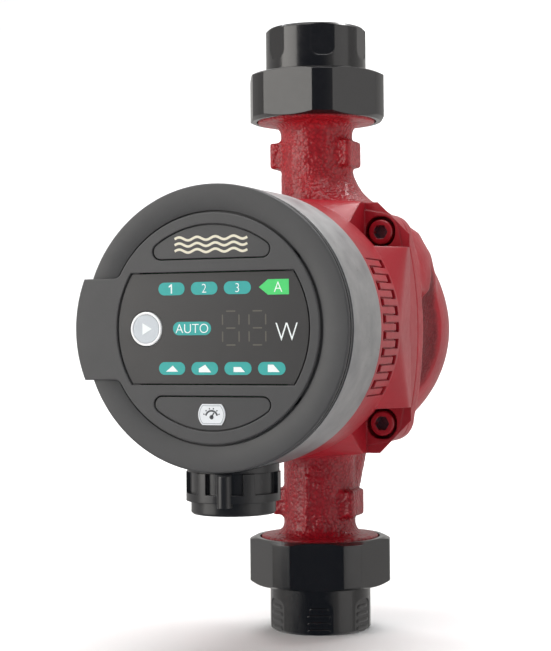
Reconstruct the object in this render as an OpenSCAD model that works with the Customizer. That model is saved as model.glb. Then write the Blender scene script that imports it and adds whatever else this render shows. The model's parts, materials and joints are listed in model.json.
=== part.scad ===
// In-line circulator pump with a wet rotor, union fittings and a front control panel.
// Millimetres. The origin is the centre of the inlet tailpiece's end face, +Z runs up
// the pipe towards the outlet, and the control panel faces -Y.

/* [Pipe unions] */
// Distance between the casing's two port faces
port_span = 180; // [178:1:190]
// Thickness of a union gasket
gasket_t = 2.5; // [2:0.5:3]
// Length of a tailpiece from its gasket face to its end
tail_len = 27; // [26:0.5:30]
// Outer diameter of a tailpiece
tail_d = 40; // [39.6:0.1:40.2]
// Crest radius of the Rp1 pipe thread in a tailpiece
pipe_r = 15.15; // [15:0.05:15.3]
// Depth of the pipe thread in a tailpiece
pipe_depth = 19; // [16:0.5:20]
// Width across the flats of a union nut
nut_af = 52; // [51:0.5:54]
// Diameter of the G1 1/2 union thread
union_d = 47.8; // [47.6:0.1:47.8]
// Turn of the outlet nut about the pipe, in degrees
outlet_nut_turn = -4.4; // [-30:0.1:30]
// Turn of the inlet nut about the pipe, in degrees
inlet_nut_turn = -17.6; // [-30:0.1:30]

/* [Pump casing] */
// Outer radius of the necks
neck_r = 14.5; // [14:0.1:15]
// Radius of the water passage in a neck
duct_r = 10.5; // [9:0.1:10.5]
// Radius of the rounded bowl
bowl_r = 48; // [47:0.5:49]
// Distance of the bowl's centre behind the pipe axis
bowl_back = 16; // [15:0.5:17]
// Distance of the casing's back face behind the pipe axis
casing_back = 46; // [45:0.5:48]
// Half width of the casing flange at its middle
flange_r = 47.4; // [47:0.1:48]
// Distance of the motor bolts from the two centre lines
bolt_offset = 36; // [35.5:0.1:36.4]

/* [Motor] */
// Outer radius of the motor shell's barrel
barrel_r = 49; // [48.5:0.1:49.4]
// Distance of the shell's front edge from the pipe axis
shell_front = 69; // [68.5:0.1:69.5]
// Outer radius of the impeller
impeller_r = 28; // [26:0.5:29]
// Number of impeller vanes
vane_count = 6; // [5:1:7]
// Radius of the shaft
shaft_r = 4; // [4:0.1:4]
// Radial running clearance of the shaft in its bearings
bearing_gap = 0.05; // [0.02:0.01:0.08]

/* [Control unit] */
// Outer radius of the aluminium ring and the control box
ring_r = 49.6; // [49.4:0.1:50]
// Distance of the ring's front edge from the pipe axis
ring_front = 97.6; // [97:0.1:98]
// Radius of the raised front cover
cover_r = 39.6; // [39.5:0.1:40.5]
// Radius of the display panel's round sides
panel_r = 35.6; // [35:0.1:36]
// Half height of the display panel
panel_half = 19; // [18.5:0.1:19.2]
// Distance of the push button from the panel's centre
button_x = -24.8; // [-25.2:0.1:-24.4]
// Outer radius of the push button
button_r = 5.95; // [5.8:0.05:6.2]

/* [Cable gland] */
// Distance of the gland's axis in front of the pipe axis
gland_d = 85.5; // [85.5:0.5:88]
// Outer radius of the gland nut
gland_r = 16.6; // [16:0.1:16.6]
// Radius of the cable hole
cable_r = 5.2; // [4.5:0.1:5.5]

/* [Hidden] */

fine = 96;
medium = 48;
eps = 0.02;

// Unions, measured outwards from a port face.
tail_flange_t = 4.5;
tail_end = gasket_t + tail_len;
nut_ledge = gasket_t + tail_flange_t + 0.05;
nut_top = nut_ledge + 4.3;
nut_mouth = -7.25;
nut_corner_r = 28;
nut_chamfer = 1.1;
union_r = union_d / 2;
thread_pitch = 2.309;
thread_depth = 1.2;
tail_flat_len = 12.9;
tail_flat_count = 6;
outlet_flat_turn = -1.4;
outlet_flat_w = 9.4;
inlet_flat_turn = 11;
inlet_flat_w = 10.8;
tail_flat_cut = 0.06;
mid_z = port_span / 2 + tail_end;

// Pump casing, measured forwards from the pipe axis unless a name says otherwise.
joint_d = 19;
flange_back = 10.5;
flange_side_r = 160;
flange_corner_r = 8.6;
flange_corner_at = 34.9;
lug_half = 17.2;
lug_bottom = 63.8;
lug_top = 74.4;
recess_r = 41;
recess_d = 16;
chamber_back = -9;
eye_r = 15;
suction_back = -39;
suction_r = 30;
elbow_z = -74;
elbow_tilt = 33;
chamber_r_small = 31;
chamber_growth = 6;

// Motor.
shell_back = joint_d + 0.3;
shell_flange_front = 28.5;
bolt_seat = 22.5;
bolt_head_r = 4.7;
bolt_head_h = 6;
barrel_back = 45;
cavity_r = 43;
stator_back = 29;
stator_front = 62;
stator_bore = 21.6;
tooth_count = 6;
can_r = 21.3;
can_wall = 0.6;
can_front = 76.6;
bearing_r = 8;
rotor_back = 27;
rotor_front = 64;
rotor_r = 20.2;
slot_pitch = 7;
slot_w = 3;

// Control unit.
box_back = 98;
box_front = 102.4;
cover_front = 103.6;
panel_front = 103;
panel_back = 101.45;
inset_front = 103.2;
lens_back = 95.25;
lens_front = 103.05;
board_back = 94;
board_front = 95.2;
screw_x = 29.2;
screw_y = 23.4;
screw_angle = atan2(screw_y, screw_x);
screw_boss_r = 3.2;
tab_half = 17.75;
tab_r = 46;
tab_shift = 6.5;
pill_w = 10;
pill_h = 4.4;
pill_pitch = 12.37;
pill_first_x = -15.05;
row_z = 13.7;
button_back = 100.35;
button_front = 103.5;

// Cable gland, measured downwards from the ring's outer surface.
gland_body_r = 12;
gland_neck_r = 9.5;
gland_lock_r = 11;
gland_bore_r = 8;
gland_body_end = 8.4;
gland_skirt = 10.4;
gland_end = 15;
gland_wall = 11.15;
gland_bar_turn = 78.2;
gland_bar_r = 2.6;

// ---------- helpers ----------

// Places its child d in front of the pipe axis on the motor axis, with local +Z forwards.
module ahead(d) {
    translate([0, -d, mid_z]) rotate([90, 0, 0]) children();
}

// A round bar on the motor axis from d1 to d2.
module bar(r, d1, d2) {
    ahead(d1) cylinder(r = r, h = d2 - d1, $fn = fine);
}

// A ring on the motor axis from d1 to d2.
module ring(r_out, r_in, d1, d2) {
    difference() {
        bar(r_out, d1, d2);
        bar(r_in, d1 - 1, d2 + 1);
    }
}

// Turns a profile of [radius, distance ahead] points round the motor axis.
module turned(points) {
    ahead(0) rotate_extrude($fn = fine) polygon(points);
}

// Places its child on the outlet port face with local +Z outwards.
module outlet_end() {
    translate([0, 0, mid_z + port_span / 2]) children();
}

// Places its child on the inlet port face with local +Z outwards.
module inlet_end() {
    translate([0, 0, mid_z - port_span / 2]) rotate([180, 0, 0]) children();
}

// Places its child on the gland's axis with local +Z downwards, away from the ring.
module gland_end_up() {
    translate([0, -gland_d, mid_z - ring_r]) rotate([180, 0, 0]) children();
}

function arc(cx, cy, r, a0, a1, n) =
    [for (i = [0 : n]) [cx + r * cos(a0 + (a1 - a0) * i / n), cy + r * sin(a0 + (a1 - a0) * i / n)]];

// A rectangle with true round corners, centred.
module round_rect(w, h, r) {
    square([w - 2 * r, h], center = true);
    square([w, h - 2 * r], center = true);
    for (x = [-1, 1], y = [-1, 1])
        translate([x * (w / 2 - r), y * (h / 2 - r)]) circle(r = r, $fn = medium);
}

// A circle of radius r between two level lines.
module round_band(r, half) {
    intersection() {
        circle(r = r, $fn = fine);
        square([3 * r, 2 * half], center = true);
    }
}

module at_bolts() {
    for (x = [-1, 1], z = [-1, 1])
        translate([x * bolt_offset, z * bolt_offset, 0]) children();
}

// The four screws under the front cover, each turned so that its web points outwards.
module at_screws() {
    for (x = [0, 1], y = [0, 1])
        mirror([x, 0, 0]) mirror([0, y, 0]) translate([screw_x, screw_y, 0]) children();
}

// ---------- pipe unions ----------

module union_gasket() {
    difference() {
        translate([0, 0, eps]) cylinder(r = 22, h = gasket_t - 2 * eps, $fn = fine);
        translate([0, 0, -1]) cylinder(r = 13.6, h = gasket_t + 2, $fn = fine);
    }
}

// Tailpiece whose cast flats are flat_w wide, turned by turn about the pipe.
module tailpiece_body(turn, flat_w) {
    flat_at = sqrt(pow(tail_d / 2, 2) - pow(flat_w / 2, 2)) - tail_flat_cut;
    difference() {
        rotate_extrude($fn = fine) polygon([
            [0, gasket_t], [22.3, gasket_t], [22.3, gasket_t + tail_flange_t],
            [tail_d / 2, gasket_t + tail_flange_t], [tail_d / 2, tail_end - 1],
            [tail_d / 2 - 1, tail_end], [0, tail_end]]);
        translate([0, 0, tail_end - pipe_depth]) cylinder(r = pipe_r, h = pipe_depth + 1, $fn = fine);
        translate([0, 0, gasket_t - 1]) cylinder(r = 13, h = tail_len, $fn = fine);
        for (i = [0 : tail_flat_count - 1])
            rotate([0, 0, turn + 60 * i])
                translate([flat_at, 0, tail_end - tail_flat_len / 2 + 3]) rotate([0, 90, 0])
                    linear_extrude(4) round_rect(tail_flat_len + 6, flat_w, 3.4);
    }
}

module union_nut_body() {
    difference() {
        intersection() {
            translate([0, 0, nut_mouth])
                cylinder(r = nut_af / 2 / cos(30), h = nut_top - nut_mouth, $fn = 6);
            rotate_extrude($fn = fine) polygon([
                [0, nut_mouth], [nut_corner_r - 2 * nut_chamfer, nut_mouth],
                [nut_corner_r, nut_mouth + nut_chamfer], [nut_corner_r, nut_top - nut_chamfer],
                [nut_corner_r - 2 * nut_chamfer, nut_top], [0, nut_top]]);
        }
        translate([0, 0, nut_mouth - 1])
            cylinder(r = union_r + 0.1, h = nut_ledge - nut_mouth + 1, $fn = fine);
        cylinder(r = tail_d / 2 + 0.3, h = nut_top + 1, $fn = fine);
    }
}

module inlet_gasket() {
    color("dimgray") inlet_end() union_gasket();
}

module outlet_gasket() {
    color("dimgray") outlet_end() union_gasket();
}

module inlet_tailpiece() {
    color([0.09, 0.09, 0.1]) inlet_end() tailpiece_body(inlet_flat_turn, inlet_flat_w);
}

module outlet_tailpiece() {
    color([0.09, 0.09, 0.1]) outlet_end() tailpiece_body(outlet_flat_turn, outlet_flat_w);
}

module inlet_nut() {
    color([0.1, 0.1, 0.11]) inlet_end() rotate([0, 0, inlet_nut_turn]) union_nut_body();
}

module outlet_nut() {
    color([0.1, 0.1, 0.11]) outlet_end() rotate([0, 0, outlet_nut_turn]) union_nut_body();
}

// ---------- pump casing ----------

// Outline of the joint flange, shared by the casing and the motor shell: four slightly
// bulging sides and four round corners.
module flange_outline() {
    intersection() {
        union() {
            square([120, 2 * flange_corner_at], center = true);
            square([2 * flange_corner_at, 120], center = true);
        }
        translate([flange_side_r - flange_r, 0]) circle(r = flange_side_r, $fn = fine);
        translate([flange_r - flange_side_r, 0]) circle(r = flange_side_r, $fn = fine);
        translate([0, flange_side_r - flange_r]) circle(r = flange_side_r, $fn = fine);
        translate([0, flange_r - flange_side_r]) circle(r = flange_side_r, $fn = fine);
    }
    for (x = [-1, 1], y = [-1, 1])
        translate([x * flange_corner_at, y * flange_corner_at]) circle(r = flange_corner_r, $fn = medium);
}

// Threaded port collar with its fillet into the neck, outwards from the port face.
module port_collar() {
    turns = 3;
    groove = [for (i = [turns : -1 : 1]) let (z = -i * thread_pitch + 0.4)
        each [[union_r, z - thread_pitch / 2 + 0.1], [union_r - thread_depth, z],
            [union_r, z + thread_pitch / 2 - 0.1]]];
    rotate_extrude($fn = fine) polygon(concat(
        [[0, -16], [neck_r, -16]],
        arc(neck_r + 4.2, -12.6, 4.2, 180, 95, 5),
        [[union_r - 0.6, -8.0], [union_r, -7.6]],
        [for (p = groove) if (p[1] > -7.5) p],
        [[union_r, -0.8], [union_r - 0.8, 0], [0, 0]]));
}

// Trumpet that blends a neck into the bowl for x above left_edge: a fillet of radius r that
// starts at height top above the motor axis, turns through angle sweep and then runs on down
// the trumpet's side, whose points are listed from the foot up.
module neck_flare(r, top, sweep, side, left_edge) {
    intersection() {
        rotate_extrude($fn = fine) polygon(concat(
            [[0, side[0][1]]], side,
            arc(neck_r + r, top, r, 180 + sweep, 180, 6),
            [[0, top]]));
        translate([left_edge, -joint_d + eps, 0]) cube([120, 60, 120]);
    }
}

module casing_lug() {
    translate([0, -1.5, (lug_bottom + lug_top) / 2])
        linear_extrude(lug_top - lug_bottom, center = true) round_rect(2 * lug_half, 15, 1.5);
}

module casing_outside() {
    intersection() {
        ahead(-bowl_back) sphere(r = bowl_r, $fn = fine);
        turned([[0, flange_back + eps], [bowl_r + 2, flange_back + eps], [bowl_r + 2, 13 - casing_back],
            [bowl_r - 14, -casing_back], [0, -casing_back]]);
    }
    ahead(flange_back) linear_extrude(joint_d - flange_back) flange_outline();
    outlet_end() port_collar();
    inlet_end() port_collar();
    translate([0, 0, mid_z]) {
        translate([0, 0, 30]) cylinder(r = neck_r, h = 50, $fn = fine);
        translate([0, 0, -80]) cylinder(r = neck_r, h = 45, $fn = fine);
        casing_lug();
        mirror([0, 0, 1]) casing_lug();
        neck_flare(19, 66, 56, [[47.3, 13], [47.3, 20], [45.4, 29], [40.6, 37.6]], 0);
        mirror([0, 0, 1]) neck_flare(6, 53, 62, [[22, 40], [20, 45]], -60);
        // The lower neck leans back behind the impeller.
        translate([0, 0, elbow_z + 2]) sphere(r = neck_r - 0.1, $fn = medium);
        translate([0, 0, elbow_z + 2]) rotate([-elbow_tilt, 0, 0])
            cylinder(r = neck_r - 0.1, h = 44, $fn = medium);
        translate([0, -14.4, -70]) cube([1.6, 2, 24], center = true);
    }
}

module casing_passages() {
    spiral = [for (i = [0 : 47]) let (t = i / 47, a = 80 + 360 * t, r = chamber_r_small + chamber_growth * t)
        [r * cos(a), r * sin(a)]];
    // Volute round the impeller, open to the front.
    ahead(chamber_back) linear_extrude(joint_d - chamber_back + 1) polygon(spiral);
    bar(recess_r, recess_d, joint_d + 1);
    // Outlet passage.
    translate([0, 0, mid_z + 20]) cylinder(r = duct_r, h = port_span / 2 - 19, $fn = medium);
    // Eye of the impeller and the suction chamber behind it.
    bar(eye_r, -14, chamber_back + 1);
    bar(suction_r, suction_back, -13);
    // Inlet passage, which leans back to the suction chamber.
    translate([0, 0, mid_z - port_span / 2 - 1])
        cylinder(r = duct_r, h = port_span / 2 + elbow_z + 1, $fn = medium);
    translate([0, 0, mid_z + elbow_z]) sphere(r = duct_r, $fn = medium);
    translate([0, 0, mid_z + elbow_z]) rotate([-elbow_tilt, 0, 0])
        cylinder(r = duct_r - 0.6, h = 64, $fn = medium);
}

module pump_casing() {
    color([0.72, 0.08, 0.1]) difference() {
        casing_outside();
        casing_passages();
        ahead(11.3) at_bolts() cylinder(r = 3.05, h = 10, $fn = medium);
    }
}

module wear_ring() {
    color("goldenrod") ring(eye_r - eps, 13.3, -13, chamber_back + 0.8);
}

module casing_gasket() {
    color("black") ring(40.6, 37.5, recess_d + eps, recess_d + 1.5);
}

// ---------- motor, wet side ----------

module bearing_plate() {
    plate_d = recess_d + 1.55;
    color("silver") turned([
        [bearing_r + eps, 6.5], [29, 6.5], [30.4, plate_d], [40.6, plate_d], [40.6, plate_d + 1.2],
        [29.2, plate_d + 1.2], [27.8, 7.7], [11, 7.7], [11, 20], [bearing_r + eps, 20]]);
}

module rear_bearing() {
    color([0.2, 0.2, 0.22]) ring(bearing_r, shaft_r + bearing_gap, 9.5, 19.5);
}

module rotor_can() {
    flange_d = recess_d + 2.8;
    color("lightsteelblue") turned([
        [0, can_front - can_wall], [can_r - can_wall - 1.5, can_front - can_wall],
        [can_r - can_wall, can_front - 2.1], [can_r - can_wall, flange_d], [40.6, flange_d],
        [40.6, flange_d + can_wall], [can_r, flange_d + can_wall], [can_r, can_front - 1.5],
        [can_r - 1.5, can_front], [0, can_front]]);
}

module bearing_holder() {
    color("silver") turned([
        [bearing_r + eps, 66.5], [11, 66.5], [11, 72.8], [can_r - can_wall - eps, 72.8],
        [can_r - can_wall - eps, 74], [bearing_r + eps, 74]]);
}

module front_bearing() {
    color([0.2, 0.2, 0.22]) ring(bearing_r, shaft_r + bearing_gap, 67, 74);
}

module shaft() {
    color("gainsboro") turned([
        [0, -6], [shaft_r - 0.6, -6], [shaft_r, -5.4], [shaft_r, 74.4], [shaft_r - 0.6, 75], [0, 75]]);
}

module thrust_ring() {
    color([0.25, 0.25, 0.27]) ring(7.4, shaft_r + eps, 20.2, 22.4);
}

module rotor_core() {
    color("dimgray") ring(9, shaft_r + eps, rotor_back + 0.5, rotor_front - 0.5);
}

module rotor_magnet() {
    color([0.3, 0.3, 0.32]) ring(19.6, 9 + eps, rotor_back + 0.5, rotor_front - 0.5);
}

module rotor_sleeve() {
    color("lightsteelblue") difference() {
        bar(rotor_r, rotor_back, rotor_front);
        bar(19.6 + eps, rotor_back + 0.48, rotor_front - 0.48);
        bar(8.6, rotor_back - 1, rotor_front + 1);
    }
}

// One backward-curved vane as a flat outline, swept along a spiral.
module vane_outline() {
    steps = 8;
    half = 0.8;
    turn = 62;
    inner = 12.2;
    outer = impeller_r - 0.3;
    mid = [for (i = [0 : steps]) let (t = i / steps)
        [inner + (outer - inner) * t, -turn * t * (1.3 - 0.3 * t)]];
    function edge(p, side) = p[0] * [cos(p[1]), sin(p[1])] + side * [sin(p[1] - 45), -cos(p[1] - 45)];
    polygon(concat(
        [for (p = mid) edge(p, half)],
        [for (i = [steps : -1 : 0]) edge(mid[i], -half)]));
}

module impeller_base() {
    color([0.85, 0.83, 0.78]) {
        difference() {
            union() {
                bar(impeller_r, 1, 3);
                bar(7, -2, 5.5);
            }
            bar(shaft_r + eps, -3, 7);
        }
        ahead(-3.5) for (i = [0 : vane_count - 1])
            rotate([0, 0, i * 360 / vane_count]) linear_extrude(4.52) vane_outline();
    }
}

module impeller_shroud() {
    color([0.8, 0.78, 0.72]) turned([
        [13, -12.4], [13, -5.2], [impeller_r, -5.2], [impeller_r, -3.52], [10.9, -3.52], [10.9, -12.4]]);
}

module impeller_lock() {
    color("silver") difference() {
        ring(6.4, shaft_r + eps, -3.2, -2.05);
        ahead(-4) for (a = [0 : 60 : 300])
            rotate([0, 0, a]) translate([6.4, 0, 0]) cylinder(r = 0.9, h = 4, $fn = 24);
    }
}

// ---------- motor, dry side ----------

// Outline of one tooth with its pole shoe.
module tooth_outline() {
    translate([24, -4.5]) square([13, 9]);
    intersection() {
        difference() {
            circle(r = 25, $fn = fine);
            circle(r = stator_bore, $fn = fine);
        }
        polygon([[0, 0], [40, 40 * tan(25)], [40, -40 * tan(25)]]);
    }
}

module stator_core() {
    color([0.45, 0.45, 0.47]) ahead(stator_back) linear_extrude(stator_front - stator_back) {
        difference() {
            circle(r = cavity_r - 0.05, $fn = fine);
            circle(r = 36, $fn = fine);
        }
        for (i = [0 : tooth_count - 1]) rotate([0, 0, i * 360 / tooth_count]) tooth_outline();
    }
}

// A frame round one tooth, drawn with its length along the motor axis.
module tooth_frame(r1, r2, half_out, half_in, over_out, over_in) {
    len = stator_front - stator_back;
    translate([r1, 0, len / 2]) difference() {
        translate([0, -half_out, -len / 2 - over_out]) cube([r2 - r1, 2 * half_out, len + 2 * over_out]);
        translate([-1, -half_in, -len / 2 - over_in]) cube([r2 - r1 + 2, 2 * half_in, len + 2 * over_in]);
    }
}

module stator_bobbins() {
    color("ivory") ahead(stator_back) for (i = [0 : tooth_count - 1]) rotate([0, 0, i * 360 / tooth_count])
        tooth_frame(25.7, 35.2, 5.5, 4.55, 1.0, 0.05);
}

module stator_windings() {
    color([0.72, 0.4, 0.15]) ahead(stator_back) for (i = [0 : tooth_count - 1])
        rotate([0, 0, i * 360 / tooth_count]) tooth_frame(26.2, 34.2, 10.2, 5.55, 4.8, 1.05);
}

// Grooves of the interlocking fingers on one side of the barrel.
module finger_grooves() {
    depth = 2.2;
    line_depth = 0.7;
    for (i = [-4 : 4]) rotate([0, 0, i * slot_pitch]) {
        translate([barrel_r - depth, -slot_w / 2, 47]) cube([depth + 2, slot_w, 3.6]);
        for (edge = [-1, 1])
            translate([barrel_r - line_depth, edge * slot_w / 2 - 0.3, 47.2]) cube([3, 0.6, 17.6]);
    }
    for (i = [-3.5 : 1 : 3.5]) rotate([0, 0, i * slot_pitch])
        translate([barrel_r - depth, -slot_w / 2, 61.6]) cube([depth + 2, slot_w, 3.4]);
}

module shell_outside() {
    notch = 6.2;
    turned([
        [0, shell_back], [46, shell_back], [46, barrel_back], [barrel_r, barrel_back],
        [barrel_r, shell_front - 0.5], [barrel_r - 0.5, shell_front], [0, shell_front]]);
    ahead(shell_back) linear_extrude(shell_flange_front - shell_back) flange_outline();
    // The barrel spreads into the flange behind the fingers, notched at each bolt.
    difference() {
        hull() {
            ahead(shell_flange_front - 1) linear_extrude(0.9) intersection() {
                square(2 * flange_r - 0.3, center = true);
                union() {
                    square([2 * flange_r, 2 * flange_corner_at], center = true);
                    square([2 * flange_corner_at, 2 * flange_r], center = true);
                    for (x = [-1, 1], y = [-1, 1])
                        translate([x * flange_corner_at, y * flange_corner_at])
                            circle(r = flange_corner_r - 0.4, $fn = 32);
                }
            }
            ahead(barrel_back) cylinder(r = barrel_r - 0.05, h = 0.5, $fn = 96);
        }
        ahead(shell_flange_front - 0.5) linear_extrude(30)
            for (x = [0, 1], y = [0, 1]) mirror([x, 0]) mirror([0, y])
                translate([bolt_offset - notch + 20, bolt_offset - notch + 20]) round_rect(40, 40, 3.5);
    }
}

module motor_shell() {
    pocket_r = 5.9;
    color([0.74, 0.1, 0.12]) difference() {
        shell_outside();
        bar(cavity_r, 23, shell_front + 1);
        bar(can_r + 0.3, shell_back - 1, 24);
        bar(recess_r, shell_back - 1, shell_back + 0.6);
        ahead(bolt_seat) at_bolts() {
            linear_extrude(shell_flange_front - bolt_seat + 1) round_rect(2 * pocket_r, 2 * pocket_r, 5.4);
            translate([0, 0, -10]) cylinder(r = 3.3, h = 12, $fn = medium);
        }
        ahead(0) finger_grooves();
        ahead(0) rotate([0, 0, 180]) finger_grooves();
    }
}

module motor_bolts() {
    color([0.7, 0.1, 0.12]) ahead(bolt_seat) at_bolts() difference() {
        union() {
            translate([0, 0, -10.9]) cylinder(r = 3, h = 11, $fn = medium);
            rotate_extrude($fn = medium) polygon([
                [0, 0], [bolt_head_r, 0], [bolt_head_r, bolt_head_h - 0.5], [bolt_head_r - 0.5, bolt_head_h],
                [0, bolt_head_h]]);
        }
        translate([0, 0, bolt_head_h - 3]) cylinder(r = 2.5 / cos(30), h = 4, $fn = 6);
    }
}

// ---------- control unit ----------

module control_ring() {
    wall = 3.4;
    back = shell_front + 0.1;
    web_back = back + 3.4;
    color([0.66, 0.67, 0.66]) difference() {
        union() {
            ring(ring_r, ring_r - wall, back, ring_front);
            ring(ring_r - wall + eps, can_r + 3, web_back, web_back + 1.8);
            // Bosses for the screws that hold the control box, joined to the wall by webs.
            ahead(web_back + 0.5) at_screws() {
                cylinder(r = screw_boss_r, h = box_front - 2.8 - web_back, $fn = medium);
                rotate([0, 0, screw_angle]) translate([0, -1, 0]) cube([10, 2, ring_front - web_back - 0.7]);
            }
        }
        gland_end_up() translate([0, 0, -14]) cylinder(r = gland_neck_r + 0.05, h = 20, $fn = medium);
        ahead(back + 18) at_screws() cylinder(r = 1.55, h = 20, $fn = 24);
    }
}

module box_seal() {
    color("black") ring(48.4, 46.8, ring_front + eps, box_back - eps);
}

// Outline of the raised cover with the tab on its left side.
module cover_outline() {
    blend = 3;
    sink = 0.6;
    reach = sqrt((cover_r + blend) * (cover_r + blend) - (tab_half + blend) * (tab_half + blend));
    rim_angle = atan2(tab_half + blend, reach);
    circle(r = cover_r, $fn = fine);
    intersection() {
        translate([-tab_shift, 0]) circle(r = tab_r, $fn = fine);
        translate([-60, -tab_half]) square([60, 2 * tab_half]);
    }
    // Fillets between the round cover and the tab.
    for (side = [0, 1]) mirror([0, side])
        polygon(concat(
            [[-reach + 5, tab_half - sink], [-reach, tab_half - sink]],
            arc(-reach, tab_half + blend, blend, -84, -rim_angle - 6, 5),
            [(cover_r - sink) * [-cos(rim_angle), sin(rim_angle)]]));
}

// Outline of a crescent between the panel and the cover's rim; side is 1 above and -1 below.
module crescent_outline(side, grow) {
    r_out = side > 0 ? 35.4 : 34.9;
    low = side > 0 ? 23.9 : 23.4;
    half_w = 21.7;
    intersection() {
        circle(r = r_out + grow, $fn = fine);
        translate([-half_w - grow, side > 0 ? low - grow : -60])
            square([2 * (half_w + grow), 60 - low + grow]);
        translate([0, side * (low + 7.2)]) round_rect(2 * (half_w + grow), 14.4 + 2 * grow, 2.7);
    }
}

module control_box() {
    groove_r = ring_r - 1.1;
    moat = 0.8;
    color([0.27, 0.27, 0.28]) difference() {
        turned([
            [46, box_back], [groove_r, box_back], [groove_r, box_back + 1.1], [ring_r, box_back + 1.2],
            [ring_r, box_back + 2.1], [groove_r, box_back + 2.2], [groove_r, box_back + 3.2],
            [ring_r, box_back + 3.3], [ring_r, box_front - 0.6], [ring_r - 0.6, box_front],
            [cover_r + 1, box_front], [cover_r + 0.7, box_front - moat], [cover_r - 0.6, box_front - moat],
            [cover_r - 0.9, box_front], [0, box_front], [0, box_front - 2], [46, box_front - 2]]);
        ahead(box_front - 3) linear_extrude(4) round_band(33.4, 16.8);
        ahead(panel_back - 0.1) linear_extrude(3) round_band(36.1, panel_half + 0.5);
        ahead(box_back) at_screws() cylinder(r = 1.8, h = 6, $fn = 24);
        ahead(box_front - 1.45) at_screws() cylinder(r = 3, h = 3, $fn = 24);
    }
}

module box_screws() {
    color("silver") ahead(box_front - 1.4) at_screws() difference() {
        union() {
            translate([0, 0, -9]) cylinder(r = 1.5, h = 9.1, $fn = 24);
            cylinder(r = 2.8, h = 1.3, $fn = 24);
        }
        translate([0, 0, 0.5]) cylinder(r = 0.9, h = 3, $fn = 6);
    }
}

module front_cover() {
    color([0.29, 0.29, 0.3]) difference() {
        union() {
            ahead(box_front + eps) linear_extrude(cover_front - box_front - eps) cover_outline();
            // The tab folds back over the rim.
            intersection() {
                difference() {
                    translate([-tab_shift, 0, 0]) bar(tab_r - 0.15, box_back - 0.8, cover_front - 0.3);
                    bar(ring_r + 0.1, 90, 110);
                }
                ahead(box_back - 2) linear_extrude(12)
                    translate([-60, 0.15 - tab_half]) square([40, 2 * tab_half - 0.3]);
            }
        }
        ahead(box_front - 1) linear_extrude(3) round_band(panel_r + 0.4, panel_half + 0.35);
        ahead(box_front - 1) linear_extrude(3) crescent_outline(1, 0.15);
        ahead(box_front - 1) linear_extrude(3) crescent_outline(-1, 0.15);
    }
}

module pill(grow = 0) {
    round_rect(pill_w + 2 * grow, pill_h + 2 * grow, pill_h / 2 + grow - 0.01);
}

module speed_pills(grow = 0) {
    for (i = [0 : 2]) translate([pill_first_x + i * pill_pitch, row_z]) pill(grow);
}

module curve_pills(grow = 0) {
    for (i = [0 : 3]) translate([pill_first_x + i * pill_pitch, -row_z]) pill(grow);
}

module auto_pill(grow = 0) {
    translate([-7.4, 0]) round_rect(14.4 + 2 * grow, 4.6 + 2 * grow, 2.29 + grow);
}

module class_arrow(grow = 0) {
    translate([17.6, row_z]) polygon([
        [-grow, 0], [3.2 - grow / 2, 2.6 + grow], [10.9 + grow, 2.6 + grow],
        [10.9 + grow, -2.6 - grow], [3.2 - grow / 2, -2.6 - grow]]);
}

module display_panel() {
    color([0.2, 0.2, 0.21]) ahead(panel_back) linear_extrude(panel_front - panel_back) difference() {
        round_band(panel_r, panel_half);
        speed_pills(0.05);
        curve_pills(0.05);
        auto_pill(0.05);
        class_arrow(0.05);
        translate([button_x, 0]) circle(r = button_r + 0.3, $fn = medium);
    }
}

module upper_inset() {
    color([0.22, 0.22, 0.23]) ahead(box_front + eps)
        linear_extrude(inset_front - box_front - eps) crescent_outline(1, 0);
}

module lower_inset() {
    color([0.22, 0.22, 0.23]) ahead(box_front + eps)
        linear_extrude(inset_front - box_front - eps) crescent_outline(-1, 0);
}

module badge() {
    color("white") ahead(inset_front + eps) translate([0, -29.4, 0]) linear_extrude(0.5) intersection() {
        round_rect(9.9, 7.2, 1.9);
        circle(r = 5.05, $fn = medium);
    }
}

module speed_lenses() {
    color([0.25, 0.66, 0.65]) ahead(lens_back) linear_extrude(lens_front - lens_back) speed_pills();
}

module auto_lens() {
    color([0.25, 0.66, 0.65]) ahead(lens_back) linear_extrude(lens_front - lens_back) auto_pill();
}

module curve_lenses() {
    color([0.25, 0.66, 0.65]) ahead(lens_back) linear_extrude(lens_front - lens_back) curve_pills();
}

module class_lens() {
    color([0.33, 0.84, 0.47]) ahead(lens_back) linear_extrude(lens_front - lens_back) class_arrow();
}

module digit_module() {
    color([0.12, 0.12, 0.13]) ahead(lens_back) translate([12.1, 0, 0])
        linear_extrude(panel_back - lens_back - 0.05) round_rect(20, 14, 0.6);
}

module button_rim() {
    color("white") ahead(0) translate([button_x, 0, 0]) rotate_extrude($fn = fine) polygon([
        [0, button_back], [button_r + 1, button_back], [button_r + 1, panel_back - 0.1],
        [button_r, panel_back - 0.1], [button_r, button_front - 0.3],
        [button_r - 0.3, button_front], [button_r - 0.8, button_front],
        [button_r - 0.9, button_front - 0.1], [button_r - 0.9, panel_back], [0, panel_back]]);
}

module button_cap() {
    color([0.8, 0.81, 0.82]) ahead(0) translate([button_x, 0, 0]) rotate_extrude($fn = fine) polygon([
        [0, panel_back + eps], [button_r - 0.95, panel_back + eps], [button_r - 0.95, button_front - 0.3],
        [button_r - 1.2, button_front - 0.12], [0, button_front - 0.12]]);
}

module tact_switch() {
    color([0.15, 0.15, 0.16]) translate([button_x, 0, 0]) {
        ahead(lens_back) linear_extrude(3.2) square(6.2, center = true);
        ahead(lens_back + 3) cylinder(r = 1.7, h = 1.1, $fn = 24);
    }
}

module display_board() {
    color([0.1, 0.35, 0.2]) ahead(board_back) linear_extrude(board_front - board_back) difference() {
        circle(r = 37, $fn = fine);
        at_screws() circle(r = screw_boss_r + 0.5, $fn = medium);
    }
}

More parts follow.
